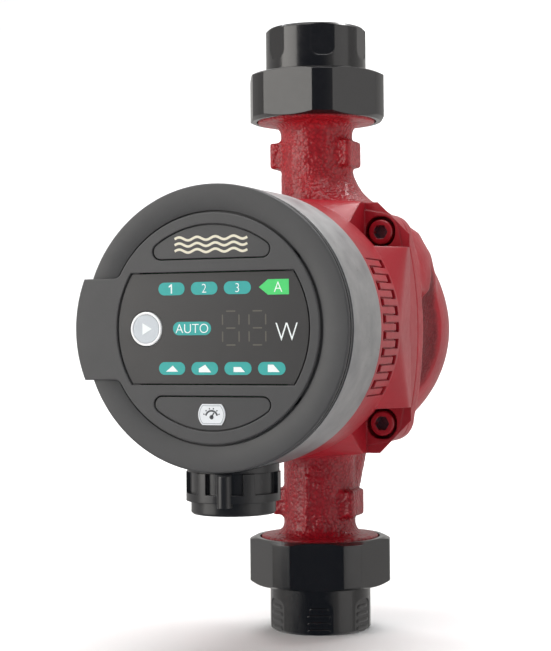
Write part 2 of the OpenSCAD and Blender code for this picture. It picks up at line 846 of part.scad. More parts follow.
module power_board() {
    color([0.1, 0.4, 0.22]) ahead(82) linear_extrude(1.6) difference() {
        circle(r = 37.5, $fn = fine);
        at_screws() circle(r = screw_boss_r + 0.5, $fn = medium);
        translate([0, -40]) square([34, 16], center = true);
    }
}

module capacitors() {
    color([0.15, 0.2, 0.35]) for (p = [[-17, 24], [0, 29], [17, 24]])
        ahead(83.65) translate([p[0], p[1], 0]) cylinder(r = 5, h = 9.6, $fn = medium);
}

module choke() {
    color([0.65, 0.38, 0.14]) ahead(83.65) translate([-22, -4, 0]) difference() {
        cylinder(r = 8, h = 7, $fn = medium);
        translate([0, 0, -1]) cylinder(r = 3.6, h = 9, $fn = medium);
    }
}

module terminal_block() {
    color([0.2, 0.45, 0.3]) ahead(83.65) difference() {
        translate([-11, -31, 0]) cube([22, 9, 8.5]);
        for (x = [-7, 0, 7]) {
            translate([x, -27, 2.5]) cylinder(r = 1.9, h = 8, $fn = 24);
            translate([x - 1.6, -32, 1]) cube([3.2, 4, 3.2]);
        }
    }
}

// ---------- cable gland ----------

module gland_body() {
    color([0.08, 0.08, 0.09]) difference() {
        union() {
            // Saddle that rests on the round side of the ring.
            difference() {
                gland_end_up() translate([0, 0, -4]) cylinder(r = gland_r - 0.4, h = 4.25, $fn = fine);
                bar(ring_r + 0.05, 60, 110);
            }
            gland_end_up() {
                cylinder(r = gland_body_r, h = gland_body_end, $fn = fine);
                translate([0, 0, -8.8]) cylinder(r = gland_neck_r, h = 10, $fn = fine);
                translate([0, 0, -9]) cylinder(r = gland_lock_r, h = 2.5, $fn = fine);
            }
        }
        gland_end_up() translate([0, 0, 1.6]) cylinder(r = gland_bore_r, h = 10, $fn = fine);
        gland_end_up() translate([0, 0, -10]) cylinder(r = cable_r + 0.8, h = 12, $fn = fine);
    }
}

module gland_seal() {
    color([0.12, 0.12, 0.12]) gland_end_up() difference() {
        translate([0, 0, 1.65]) cylinder(r = gland_bore_r - 0.05, h = 7.9, $fn = fine);
        translate([0, 0, 1]) cylinder(r = cable_r - 0.4, h = 10, $fn = fine);
    }
}

module gland_washer() {
    color([0.75, 0.75, 0.72]) gland_end_up() difference() {
        translate([0, 0, 9.65]) cylinder(r = 11, h = 1.45, $fn = fine);
        translate([0, 0, 9]) cylinder(r = cable_r + 0.2, h = 4, $fn = fine);
    }
}

module gland_nut() {
    window_top = 0.2;
    window_h = 7.4;
    color([0.1, 0.1, 0.11]) gland_end_up() difference() {
        union() {
            translate([0, 0, 0.35]) cylinder(r = gland_r, h = gland_skirt - 0.35, $fn = fine);
            rotate_extrude($fn = fine) polygon([
                [0, gland_skirt - 1], [14.9, gland_skirt - 1], [14.9, gland_end - 0.6],
                [14.3, gland_end], [0, gland_end]]);
            for (half_turn = [0, 180]) rotate([0, 0, gland_bar_turn + half_turn])
                translate([gland_r + 1.3 - gland_bar_r, 0, 0.9])
                    cylinder(r = gland_bar_r, h = gland_skirt + 0.6, $fn = fine);
        }
        // Finger windows either side of each bar.
        for (half_turn = [0, 180], side = [-1, 1]) rotate([0, 0, gland_bar_turn + half_turn]) {
            intersection() {
                translate([0, 0, window_top - 1]) difference() {
                    cylinder(r = gland_r + 2, h = window_h + 1, $fn = fine);
                    translate([0, 0, -1]) cylinder(r = gland_r - 1.6, h = window_h + 3, $fn = fine);
                }
                union() {
                    rotate([0, 0, side * 16.5]) translate([8, -2.1, -2]) cube([14, 4.2, 14]);
                    linear_extrude(14) polygon([[0, 0], 30 * [cos(38), side * sin(38)],
                        34 * [cos(60), side * sin(60)], 30 * [cos(80), side * sin(80)]]);
                }
            }
        }
        translate([0, 0, -1]) cylinder(r = gland_body_r + 0.1, h = gland_wall + 1, $fn = fine);
        cylinder(r = cable_r, h = gland_end + 1, $fn = fine);
    }
}

// ---------- output ----------

pump_casing();
wear_ring();
casing_gasket();
bearing_plate();
rear_bearing();
rotor_can();
bearing_holder();
front_bearing();
shaft();
thrust_ring();
rotor_core();
rotor_magnet();
rotor_sleeve();
impeller_base();
impeller_shroud();
impeller_lock();
stator_core();
stator_bobbins();
stator_windings();
motor_shell();
motor_bolts();
control_ring();
box_seal();
control_box();
box_screws();
front_cover();
display_panel();
upper_inset();
lower_inset();
badge();
speed_lenses();
auto_lens();
curve_lenses();
class_lens();
digit_module();
button_cap();
button_rim();
tact_switch();
display_board();
power_board();
capacitors();
choke();
terminal_block();
gland_body();
gland_seal();
gland_washer();
gland_nut();
inlet_gasket();
inlet_tailpiece();
inlet_nut();
outlet_gasket();
outlet_tailpiece();
outlet_nut();
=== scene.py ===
"""Looks for the circulator pump: materials, printed details, studio and camera.

Metres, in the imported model's own frame. The motor axis runs along -Y at height MID, and most
sizes below are millimetres measured from that axis: x to the right, z up, d ahead of the pipe.
"""

import json
import math

import bmesh
import bpy
import numpy as np
from mathutils import Matrix, Vector, noise

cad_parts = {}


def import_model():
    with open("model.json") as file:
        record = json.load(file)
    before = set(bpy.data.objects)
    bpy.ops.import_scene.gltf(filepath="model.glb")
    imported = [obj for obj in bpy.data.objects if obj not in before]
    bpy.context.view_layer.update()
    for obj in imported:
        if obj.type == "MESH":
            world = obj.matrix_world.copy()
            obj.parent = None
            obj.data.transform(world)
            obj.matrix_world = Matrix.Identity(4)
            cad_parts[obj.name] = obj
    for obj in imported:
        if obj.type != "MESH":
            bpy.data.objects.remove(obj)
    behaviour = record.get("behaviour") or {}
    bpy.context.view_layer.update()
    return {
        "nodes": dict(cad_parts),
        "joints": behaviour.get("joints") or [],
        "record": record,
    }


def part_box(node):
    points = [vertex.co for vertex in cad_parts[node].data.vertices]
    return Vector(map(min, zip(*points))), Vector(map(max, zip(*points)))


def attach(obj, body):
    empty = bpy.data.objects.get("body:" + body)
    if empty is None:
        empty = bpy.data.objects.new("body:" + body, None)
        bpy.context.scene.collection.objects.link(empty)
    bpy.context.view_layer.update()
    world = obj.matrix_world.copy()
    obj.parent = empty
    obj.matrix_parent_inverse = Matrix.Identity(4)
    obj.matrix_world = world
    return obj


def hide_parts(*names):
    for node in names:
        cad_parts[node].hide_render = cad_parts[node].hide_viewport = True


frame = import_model()
nodes = frame["nodes"]

MM = 0.001
BOLT_AT = 36.0
HOLLOW_D = -4.5
MID = next(j for j in frame["joints"] if j["name"] == "rotor_spin")["pos_m"][2]
COVER_FRONT = -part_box("front_cover")[0].y / MM
PANEL_FRONT = -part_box("display_panel")[0].y / MM
INSET_FRONT = -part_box("upper_inset")[0].y / MM
BADGE_FRONT = -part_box("badge")[0].y / MM
LENS_FRONT = -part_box("speed_lenses")[0].y / MM
BOX_FRONT = -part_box("control_box")[0].y / MM
BOX_BACK = -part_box("control_box")[1].y / MM
RING_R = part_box("control_box")[1].x / MM
TAB_REACH = -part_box("front_cover")[0].x / MM
COVER_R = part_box("front_cover")[1].x / MM
PANEL_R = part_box("display_panel")[1].x / MM
PANEL_HALF = (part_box("display_panel")[1].z - MID) / MM
BUTTON_FRONT = -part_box("button_rim")[0].y / MM


# ---------- node helpers ----------

class Nodes:
    """A node tree that is filled by short calls."""

    def __init__(self, tree):
        self.tree = tree
        tree.nodes.clear()

    def add(self, kind, inputs=None, **settings):
        node = self.tree.nodes.new(kind)
        for key, value in settings.items():
            setattr(node, key, value)
        for key, value in (inputs or {}).items():
            self.put(node.inputs[key], value)
        return node

    def put(self, socket, value):
        if isinstance(value, bpy.types.NodeSocket):
            self.tree.links.new(value, socket)
        else:
            socket.default_value = value

    def math(self, operation, a, b=0.0, clamp=False):
        node = self.add("ShaderNodeMath", {0: a, 1: b}, operation=operation)
        node.use_clamp = clamp
        return node.outputs[0]

    def position(self):
        return self.add("ShaderNodeTexCoord").outputs["Object"]

    def noise(self, size_mm, detail=3.0, rough=0.55, where=None, stretch=None):
        """Noise whose features are about size_mm across."""
        where = where or self.position()
        if stretch:
            where = self.add("ShaderNodeMapping", {"Vector": where, "Scale": stretch}).outputs[0]
        return self.add("ShaderNodeTexNoise", {
            "Vector": where, "Scale": 1 / (size_mm * MM), "Detail": detail, "Roughness": rough,
        }).outputs["Fac"]

    def cells(self, size_mm, smooth=0.6):
        return self.add("ShaderNodeTexVoronoi", {
            "Vector": self.position(), "Scale": 1 / (size_mm * MM), "Smoothness": smooth,
        }, feature="SMOOTH_F1").outputs["Distance"]

    def ramp(self, fac, *stops):
        """Colour ramp with stops of (position, colour or grey level)."""
        node = self.add("ShaderNodeValToRGB", {"Fac": fac})
        points = node.color_ramp.elements
        while len(points) < len(stops):
            points.new(0.5)
        for point, (at, colour) in zip(points, stops):
            point.position = at
            level = colour if isinstance(colour, tuple) else (colour,) * 3
            point.color = (*level, 1)
        return node.outputs["Color"]

    def span(self, value, low, high, out_low=0.0, out_high=1.0):
        return self.add("ShaderNodeMapRange", {
            "Value": value, "From Min": low, "From Max": high, "To Min": out_low, "To Max": out_high,
        }, interpolation_type="SMOOTHSTEP").outputs["Result"]

    def mix(self, fac, a, b):
        node = self.add("ShaderNodeMix", data_type="RGBA")
        self.put(node.inputs[0], fac)
        self.put(node.inputs[6], a)
        self.put(node.inputs[7], b)
        return node.outputs[2]

    def bump(self, height, depth_mm, strength=1.0, after=None):
        inputs = {"Height": height, "Distance": depth_mm * MM, "Strength": strength}
        if after is not None:
            inputs["Normal"] = after
        return self.add("ShaderNodeBump", inputs).outputs[0]

    def bevel(self, radius_mm):
        return self.add("ShaderNodeBevel", {"Radius": radius_mm * MM}, samples=6).outputs[0]


def rgb(r, g, b):
    """Linear colour from an 8-bit sRGB one."""
    def level(v):
        v /= 255
        return v / 12.92 if v <= 0.04045 else ((v + 0.055) / 1.055) ** 2.4
    return (level(r), level(g), level(b), 1.0)


def shade(colour, k):
    return (colour[0] * k, colour[1] * k, colour[2] * k, 1.0)


def finish_material(name, build, **shader):
    """Makes a material. build(n) returns the sockets for Base Color, Roughness and Normal."""
    mat = bpy.data.materials.new(name)
    mat.use_nodes = True
    n = Nodes(mat.node_tree)
    bsdf = n.add("ShaderNodeBsdfPrincipled")
    for key, value in shader.items():
        bsdf.inputs[key.replace("_", " ")].default_value = value
    for key, value in build(n).items():
        n.put(bsdf.inputs[key], value)
    out = n.add("ShaderNodeOutputMaterial")
    n.tree.links.new(bsdf.outputs[0], out.inputs[0])
    return mat


# ---------- materials ----------

RED = rgb(160, 19, 34)
# Darker red, used as painted shade in the grain dips, pits and side hollow of the casting.
RED_PAINTED_SHADE = rgb(96, 8, 18)
# Lighter red, used as a painted highlight on the grain tops of the upper necks.
RED_PAINTED_HIGHLIGHT = rgb(206, 46, 54)
CHARCOAL = rgb(69, 69, 70)


def red_casting():
    """Thick red enamel over sand-cast iron: coarse on the necks and in the side hollow, with painted shade
    in the grain dips, pits and hollow and a painted highlight on the grain tops of the upper necks.
    """
    def build(n):
        xyz = n.add("ShaderNodeSeparateXYZ", {0: n.position()}).outputs
        height = n.math("SUBTRACT", xyz[2], MID)
        on_neck = n.span(n.math("ABSOLUTE", height), 0.044, 0.054)
        across = n.math("DIVIDE", n.math("SUBTRACT", xyz[1], -HOLLOW_D * MM), 0.0062)
        along = n.math("DIVIDE", height, 0.0250)
        out = n.math("ADD", n.math("MULTIPLY", across, across), n.math("MULTIPLY", along, along))
        wander = n.math("MULTIPLY", n.math("SUBTRACT", n.noise(4.0, 2.0), 0.5), 0.7)
        hollow = n.math("MULTIPLY", n.span(n.math("ADD", out, wander), 1.15, 0.45),
                        n.span(xyz[0], 0.030, 0.037))
        coarse_at = n.math("MAXIMUM", on_neck, hollow)
        grain = n.cells(1.25, 0.4)
        tone = n.noise(14, 4.0)
        # Painted shade: dark specks stand for the shade inside small pits.
        painted_pit_shade = n.ramp(n.noise(0.9, 3.0, 0.6), (0.28, 0.0), (0.36, 1.0))
        base = n.mix(n.ramp(tone, (0.35, 0.0), (0.65, 1.0)), shade(RED, 0.86), shade(RED, 1.06))
        # Painted shade: the dips between the coarse grains are darkened.
        painted_dip_shade = n.ramp(grain, (0.15, 0.0), (0.6, 1.0))
        base = n.mix(n.math("MULTIPLY", n.math("MULTIPLY", painted_dip_shade, 0.45), coarse_at), base, RED_PAINTED_SHADE)
        # Painted highlight: the grain tops on the upper necks are lightened, as by light from above.
        upper = n.span(height, 0.044, 0.060)
        tops = n.span(grain, 0.8, 0.1, 0.45, 1.0)
        base = n.mix(n.math("MULTIPLY", tops, n.math("MULTIPLY", upper, 0.5)), base, RED_PAINTED_HIGHLIGHT)
        # Painted shade in the pits.
        base = n.mix(n.span(painted_pit_shade, 0.0, 1.0, 0.35, 0.0), base, RED_PAINTED_SHADE)
        # Painted shade: the side hollow is darkened.
        base = n.mix(n.math("MULTIPLY", hollow, 0.7), base, RED_PAINTED_SHADE)
        patchy = n.span(n.noise(5.0, 2.0), 0.38, 0.62, 0.35, 1.0)
        depth = n.math("ADD", n.math("MULTIPLY", n.math("MULTIPLY", coarse_at, patchy), 0.94), 0.06)
        coarse = n.bump(n.math("MULTIPLY", n.math("SUBTRACT", 1.0, grain), depth), 0.60, 1.0)
        fine = n.bump(n.noise(0.6, 3.0), 0.04, 1.0, coarse)
        swell = n.bump(n.noise(3.2, 2.0), 0.10, 1.0, fine)
        rough = n.math("ADD", n.math("MULTIPLY", n.noise(2.2, 3.0), 0.22), 0.24)
        rough = n.math("ADD", rough, n.math("MULTIPLY", hollow, 0.25))
        coat = n.math("ADD", n.math("MULTIPLY", on_neck, 0.10), 0.06)
        return {"Base Color": base, "Roughness": rough, "Normal": swell, "Coat Weight": coat}
    return finish_material("red_casting", build, Coat_Roughness=0.12, Specular_IOR_Level=0.42)


def red_shell():
    """Smoother red enamel on the die-cast motor shell."""
    def build(n):
        edge = n.bevel(0.8)
        tone = n.noise(20, 3.0)
        base = n.mix(n.ramp(tone, (0.3, 0.0), (0.7, 1.0)), shade(RED, 0.88), shade(RED, 1.05))
        peel = n.bump(n.noise(1.3, 2.0), 0.03, 1.0, edge)
        wave = n.bump(n.noise(6, 2.0), 0.16, 0.6, peel)
        rough = n.math("ADD", n.math("MULTIPLY", n.noise(3.0, 3.0), 0.18), 0.30)
        return {"Base Color": base, "Roughness": rough, "Normal": wave}
    return finish_material("red_shell", build, Coat_Weight=0.15, Coat_Roughness=0.2,
                           Specular_IOR_Level=0.45)


def red_bolts():
    """Red enamel that leaves the bare socket of each bolt showing."""
    def build(n):
        xyz = n.add("ShaderNodeSeparateXYZ", {0: n.position()}).outputs
        x = n.math("SUBTRACT", n.math("ABSOLUTE", xyz[0]), BOLT_AT * MM)
        z = n.math("SUBTRACT", n.math("ABSOLUTE", n.math("SUBTRACT", xyz[2], MID)), BOLT_AT * MM)
        radius = n.math("SQRT", n.math("ADD", n.math("MULTIPLY", x, x), n.math("MULTIPLY", z, z)))
        ragged = n.math("ADD", radius, n.math("MULTIPLY", n.noise(0.8, 3.0), 0.0006))
        bare = n.span(ragged, 0.0031, 0.0027)
        worn = n.ramp(n.noise(0.6, 3.0), (0.30, 0.5), (0.40, 0.0))
        steel = n.mix(n.noise(0.7), rgb(70, 66, 68), rgb(150, 146, 150))
        base = n.mix(n.math("MAXIMUM", bare, n.math("MULTIPLY", worn, 0.25)), RED, steel)
        normal = n.bump(n.noise(1.0, 2.0), 0.03, 1.0, n.bevel(0.4))
        return {"Base Color": base, "Roughness": n.span(bare, 0, 1, 0.3, 0.42), "Metallic": bare,
                "Normal": normal}
    return finish_material("red_bolts", build, Coat_Weight=0.2, Coat_Roughness=0.15)


def moulded(name, colour, rough=0.5, grain_mm=0.35, grain_depth=0.012, mottle=0.08, edge_mm=0.3,
            **shader):
    """Textured moulded plastic."""
    def build(n):
        lo, hi = shade(colour, 1 - mottle), shade(colour, 1 + mottle)
        base = n.mix(n.noise(5, 5.0, 0.65), lo, hi)
        fleck = n.ramp(n.noise(0.45, 2.0, 0.7), (0.62, 0.0), (0.74, 1.0))
        base = n.mix(n.math("MULTIPLY", fleck, 0.22), base, shade(colour, 1.9))
        normal = n.bump(n.noise(grain_mm, 3.0, 0.6), grain_depth, 1.0, n.bevel(edge_mm))
        roughness = n.math("ADD", n.math("MULTIPLY", n.noise(8, 4.0), 0.14), rough - 0.07)
        return {"Base Color": base, "Roughness": roughness, "Normal": normal}
    return finish_material(name, build, **shader)


def lens(name, colour):
    """Printed translucent field over a lamp."""
    def build(n):
        base = n.mix(n.noise(1.4, 3.0), shade(colour, 0.93), shade(colour, 1.07))
        normal = n.bump(n.noise(0.6, 2.0), 0.004, 1.0)
        roughness = n.math("ADD", n.math("MULTIPLY", n.noise(2.0), 0.1), 0.4)
        return {"Base Color": base, "Roughness": roughness, "Normal": normal}
    return finish_material(name, build, Specular_IOR_Level=0.35)


def ink(name, colour):
    """Thick screen-printed ink."""
    def build(n):
        base = n.mix(n.noise(0.5, 3.0), shade(colour, 0.92), shade(colour, 1.04))
        return {"Base Color": base, "Roughness": n.span(n.noise(0.8), 0.3, 0.7, 0.45, 0.6),
                "Normal": n.bump(n.noise(0.3, 2.0), 0.003, 1.0)}
    return finish_material(name, build, Specular_IOR_Level=0.3)


def turned_ring():
    """Satin cast and turned aluminium with fine tool lines, dull blotches and a few stains."""
    def build(n):
        where = n.position()
        lines = n.noise(0.25, 2.0, 0.5, where, (0.03, 1.0, 0.03))
        blotch = n.noise(9, 5.0, 0.6)
        stain = n.ramp(n.noise(1.6, 4.0, 0.7, where, (1.0, 0.5, 1.0)), (0.62, 0.0), (0.72, 1.0))
        zone = n.ramp(n.noise(17, 2.0), (0.48, 0.0), (0.6, 1.0))
        base = n.mix(n.ramp(blotch, (0.3, 0.0), (0.7, 1.0)), rgb(158, 158, 160), rgb(184, 184, 184))
        base = n.mix(n.math("MULTIPLY", n.math("MULTIPLY", stain, zone), 0.5), base, rgb(112, 100, 84))
        normal = n.bump(lines, 0.008, 0.6, n.bevel(0.4))
        normal = n.bump(n.noise(0.8, 3.0), 0.01, 0.5, normal)
        rough = n.math("ADD", n.math("MULTIPLY", blotch, 0.16), 0.38)
        return {"Base Color": base, "Roughness": rough, "Normal": normal}
    return finish_material("turned_ring", build, Metallic=0.85)


def black_union():
    """Glossy black lacquer over turned and milled iron."""
    def build(n):
        where = n.position()
        streak = n.noise(0.5, 3.0, 0.6, where, (1.0, 1.0, 0.08))
        base = n.mix(n.noise(6, 4.0), rgb(16, 16, 18), rgb(26, 25, 26))
        worn = n.ramp(n.noise(0.8, 4.0, 0.7), (0.66, 0.0), (0.74, 1.0))
        base = n.mix(n.math("MULTIPLY", worn, 0.16), base, rgb(120, 116, 108))
        normal = n.bump(streak, 0.006, 0.7, n.bevel(0.5))
        normal = n.bump(n.noise(2.4, 3.0), 0.03, 0.5, normal)
        rough = n.math("ADD", n.math("MULTIPLY", n.noise(3, 4.0), 0.14), 0.16)
        return {"Base Color": base, "Roughness": rough, "Normal": normal}
    return finish_material("black_union", build, Specular_IOR_Level=0.5, Coat_Weight=0.4,
                           Coat_Roughness=0.08)


def metal(name, colour, rough=0.35, grain_mm=0.5, stretch=None, edge_mm=0.2, metallic=1.0):
    """Bare metal with a directional or even grain."""
    def build(n):
        where = n.position()
        grain = n.noise(grain_mm, 3.0, 0.6, where, stretch)
        base = n.mix(n.noise(6, 4.0), shade(colour, 0.82), shade(colour, 1.1))
        normal = n.bump(grain, 0.01, 0.6, n.bevel(edge_mm))
        roughness = n.math("ADD", n.math("MULTIPLY", grain, 0.18), rough - 0.08)
        return {"Base Color": base, "Roughness": roughness, "Normal": normal}
    return finish_material(name, build, Metallic=metallic)


def laminations():
    """Stacked sheet steel: fine layers across the motor axis."""
    def build(n):
        y = n.add("ShaderNodeSeparateXYZ", {0: n.position()}).outputs[1]
        layer = n.math("PINGPONG", y, 0.00025)
        gap = n.span(layer, 0.0, 0.00008)
        base = n.mix(gap, rgb(38, 36, 36), rgb(120, 120, 124))
        return {"Base Color": base, "Roughness": n.span(n.noise(0.6), 0.3, 0.7, 0.35, 0.55),
                "Normal": n.bump(gap, 0.04, 1.0)}
    return finish_material("laminations", build, Metallic=0.9)


def wound_copper():
    """Enamelled wire laid side by side."""
    def build(n):
        xyz = n.add("ShaderNodeSeparateXYZ", {0: n.position()}).outputs
        turn = n.math("PINGPONG", n.math("ADD", n.math("ADD", xyz[0], xyz[1]), xyz[2]), 0.0003)
        gap = n.span(turn, 0.0, 0.00022)
        base = n.mix(gap, rgb(92, 36, 12), rgb(196, 104, 48))
        return {"Base Color": base, "Roughness": n.span(n.noise(1.0), 0.3, 0.7, 0.25, 0.4),
                "Normal": n.bump(gap, 0.12, 1.0)}
    return finish_material("wound_copper", build, Metallic=0.6, Coat_Weight=0.3)


def circuit_board():
    """Green solder mask with traces showing through."""
    def build(n):
        trace = n.add("ShaderNodeTexBrick", {
            "Vector": n.add("ShaderNodeMapping", {
                "Vector": n.position(), "Rotation": (math.pi / 2, 0, 0)}).outputs[0],
            "Scale": 220.0, "Color1": rgb(12, 84, 44), "Color2": rgb(16, 96, 52), "Mortar": rgb(8, 58, 30),
            "Mortar Size": 0.02}).outputs["Color"]
        return {"Base Color": trace, "Roughness": n.span(n.noise(2.0), 0.3, 0.7, 0.25, 0.4),
                "Normal": n.bump(n.noise(1.2), 0.01, 1.0)}
    return finish_material("circuit_board", build, Coat_Weight=0.3)


def floor_material():
    def build(n):
        base = n.mix(n.noise(220, 3.0), rgb(226, 226, 226), rgb(232, 232, 232))
        return {"Base Color": base, "Roughness": 0.7, "Normal": n.bump(n.noise(3.0), 0.02, 0.3)}
    return finish_material("studio_floor", build, Specular_IOR_Level=0.2)


MATERIALS = {
    "casing_paint": red_casting(),
    "shell_paint": red_shell(),
    "bolt_paint": red_bolts(),
    "ring_alloy": turned_ring(),
    "box_plastic": moulded("box_plastic", CHARCOAL, 0.46),
    "cover_plastic": moulded("cover_plastic", shade(CHARCOAL, 1.06), 0.5),
    "panel_film": moulded("panel_film", rgb(56, 55, 55), 0.36, 0.6, 0.004, 0.05, 0.15),
    "inset_plastic": moulded("inset_plastic", rgb(68, 68, 69), 0.42, 0.6, 0.005, 0.05, 0.2),
    "badge_white": moulded("badge_white", rgb(222, 226, 230), 0.4, 0.6, 0.004, 0.02, 0.15),
    "lens_teal": lens("lens_teal", rgb(60, 166, 162)),
    "lens_green": lens("lens_green", rgb(80, 210, 116)),
    "display_black": moulded("display_black", rgb(30, 30, 31), 0.3, 0.8, 0.004),
    "button_grey": moulded("button_grey", rgb(196, 202, 208), 0.5, 0.3, 0.01, 0.03, 0.2),
    "button_white": moulded("button_white", rgb(240, 241, 242), 0.35, 0.6, 0.004, 0.02, 0.2),
    "switch_black": moulded("switch_black", rgb(34, 34, 36), 0.45),
    "board_green": circuit_board(),
    "capacitor_can": metal("capacitor_can", rgb(52, 66, 110), 0.35, 0.8, None, 0.3, 0.3),
    "copper_wire": wound_copper(),
    "terminal_green": moulded("terminal_green", rgb(46, 118, 72), 0.4),
    "gland_black": moulded("gland_black", rgb(30, 30, 32), 0.3, 0.5, 0.006, 0.1, 0.4,
                           Specular_IOR_Level=0.5, Coat_Weight=0.15, Coat_Roughness=0.15),
    "rubber_black": moulded("rubber_black", rgb(36, 36, 36), 0.7, 0.4, 0.02),
    "washer_plastic": moulded("washer_plastic", rgb(206, 204, 194), 0.5),
    "union_black": black_union(),
    "fibre_gasket": moulded("fibre_gasket", rgb(70, 74, 78), 0.8, 0.3, 0.03, 0.2),
    "stainless": metal("stainless", rgb(196, 194, 190), 0.28, 0.4, (1.0, 0.1, 1.0)),
    "black_screw": metal("black_screw", rgb(40, 40, 42), 0.4, 0.4, None),
    "carbon": moulded("carbon", rgb(52, 52, 56), 0.35, 0.3, 0.006),
    "shaft_steel": metal("shaft_steel", rgb(206, 206, 208), 0.2, 0.3, (1.0, 0.1, 1.0)),
    "magnet_ferrite": moulded("magnet_ferrite", rgb(66, 64, 68), 0.6, 0.4, 0.02),
    "lamination": laminations(),
    "bobbin_nylon": moulded("bobbin_nylon", rgb(226, 220, 200), 0.45),
    "impeller_plastic": moulded("impeller_plastic", rgb(214, 206, 186), 0.42),
    "wear_bronze": metal("wear_bronze", rgb(190, 140, 70), 0.35, 0.4, (1.0, 0.1, 1.0)),
    "mark_cream": ink("mark_cream", rgb(226, 220, 200)),
    "print_white": ink("print_white", rgb(240, 246, 246)),
    "print_dim": ink("print_dim", rgb(98, 95, 88)),
    "print_dark": ink("print_dark", rgb(84, 86, 90)),
    "frame_grey": ink("frame_grey", rgb(168, 174, 180)),
}

# Nodes whose finish differs from the rest of their slot.
OWN_FINISH = {"box_screws": "black_screw"}

for part in frame["record"]["subparts"]:
    data = nodes[part["node"]].data
    data.materials.clear()
    data.materials.append(MATERIALS[OWN_FINISH.get(part["node"], part["material_slot"])])


# ---------- mesh helpers ----------

def new_piece(name, mesh, material, body, replaced=()):
    """Links a mesh as a piece, with the material of a slot and its body."""
    mesh.materials.clear()
    mesh.materials.append(MATERIALS[material])
    piece = bpy.data.objects.new(name, mesh)
    bpy.context.scene.collection.objects.link(piece)
    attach(piece, body)
    if replaced:
        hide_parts(*replaced)
    return piece


def soft_edges(mesh, degrees=32):
    mesh.shade_smooth()
    mesh.set_sharp_from_angle(angle=math.radians(degrees))


def facing(x, z, d):
    """A point x, z from the motor axis and d ahead of the pipe, in millimetres."""
    return Vector((x * MM, -d * MM, MID + z * MM))


def arc(cx, cz, r, start, end, steps):
    return [(cx + r * math.cos(math.radians(start + (end - start) * i / steps)),
             cz + r * math.sin(math.radians(start + (end - start) * i / steps)))
            for i in range(steps + 1)]


def circle(r, steps=96, cx=0.0, cz=0.0):
    return arc(cx, cz, r, 0, 360, steps)[:-1]


def band(r, half, steps=32):
    """Circle of radius r between two level lines."""
    a = math.degrees(math.asin(half / r))
    return arc(0, 0, r, -a, a, steps) + arc(0, 0, r, 180 - a, 180 + a, steps)


def pill(cx, cz, w, h, steps=14):
    r = h / 2
    return (arc(cx + w / 2 - r, cz, r, -90, 90, steps)
            + arc(cx - w / 2 + r, cz, r, 90, 270, steps))


def crescent(r, low, corner, grow, side):
    """Circle segment above a level line, with round corners, mirrored down when side is -1."""
    r, low, corner = r + grow, low - grow, corner + grow
    cx = math.sqrt((r - corner) ** 2 - (low + corner) ** 2)
    lean = math.degrees(math.atan2(low + corner, cx))
    points = (arc(cx, low + corner, corner, -90, lean, 12)
              + arc(0, 0, r, lean, 180 - lean, 48)[1:-1]
              + arc(-cx, low + corner, corner, 180 - lean, 270, 12))
    return [(x, side * z) for x, z in points]


def area(loop):
    return sum(a[0] * b[1] - b[0] * a[1] for a, b in zip(loop, loop[1:] + loop[:1])) / 2


def inset(loop, by):
    """Moves every side of a loop to its left by a distance."""
    moved = []
    for i, (x, z) in enumerate(loop):
        before = Vector(loop[i]) - Vector(loop[i - 1])
        after = Vector(loop[(i + 1) % len(loop)]) - Vector(loop[i])
        before.normalize()
        after.normalize()
        na, nb = Vector((-before.y, before.x)), Vector((-after.y, after.x))
        mid = (na + nb).normalized()
        moved.append((x + mid.x * by / max(mid.dot(na), 0.4), z + mid.y * by / max(mid.dot(na), 0.4)))
    return moved


def plate(outer, holes, back, front, edge, steps=4, hole_edge=None):
    """A flat plate with rounded front edges, from 2D loops in millimetres."""
    bm = bmesh.new()
    front_edges, back_edges = [], []
    for k, loop in enumerate([outer, *holes]):
        if (area(loop) > 0) == (k > 0):
            loop = loop[::-1]
        r = edge if k == 0 or hole_edge is None else hole_edge
        rows = [[bm.verts.new(facing(x, z, back)) for x, z in loop]]
        for i in range(steps + 1):
            a = math.pi / 2 * i / steps
            level = inset(loop, r * (1 - math.cos(a)))
            rows.append([bm.verts.new(facing(x, z, front - r + r * math.sin(a))) for x, z in level])
        rows.append([bm.verts.new(facing(x, z, front)) for x, z in inset(loop, r + 0.03)])
        count = len(loop)
        for low, high in zip(rows, rows[1:]):
            for i in range(count):
                j = (i + 1) % count
                bm.faces.new((low[i], low[j], high[j], high[i]))
        for row, found in ((rows[0], back_edges), (rows[-1], front_edges)):
            for i in range(count):
                found.append(bm.edges.get((row[i], row[(i + 1) % count])))
    bmesh.ops.triangle_fill(bm, edges=front_edges, use_beauty=True, normal=(0, -1, 0))
    bmesh.ops.triangle_fill(bm, edges=back_edges, use_beauty=True, normal=(0, 1, 0))
    bmesh.ops.recalc_face_normals(bm, faces=bm.faces)
    return to_mesh(bm)


def lathe(profile, steps=144):
    """Turns a closed profile of (radius, d ahead) points in millimetres round the motor axis."""
    bm = bmesh.new()
    rings = []
    for i in range(steps):
        a = 2 * math.pi * i / steps
        rings.append([bm.verts.new(facing(r * math.cos(a), r * math.sin(a), d)) for r, d in profile])
    count = len(profile)
    for i in range(steps):
        one, two = rings[i], rings[(i + 1) % steps]
        for j in range(count):
            k = (j + 1) % count
            bm.faces.new((one[j], one[k], two[k], two[j]))
    bmesh.ops.recalc_face_normals(bm, faces=bm.faces)
    return to_mesh(bm)


def to_mesh(bm, name="part"):
    mesh = bpy.data.meshes.new(name)
    bm.to_mesh(mesh)
    bm.free()
    soft_edges(mesh)
    return mesh


def join(meshes):
    bm = bmesh.new()
    for mesh in meshes:
        bm.from_mesh(mesh)
        bpy.data.meshes.remove(mesh)
    return to_mesh(bm)


# ---------- casting ----------

CAST_VOXEL = 0.8
EDGE_ROUNDS = 3
FLARE_FOOT_Z = 12.0
FLARE_FOOT_ROUNDS = 45


def smooth_step(value, low, high):
    t = np.clip((value - low) / (high - low), 0, 1)
    return t * t * (3 - 2 * t)


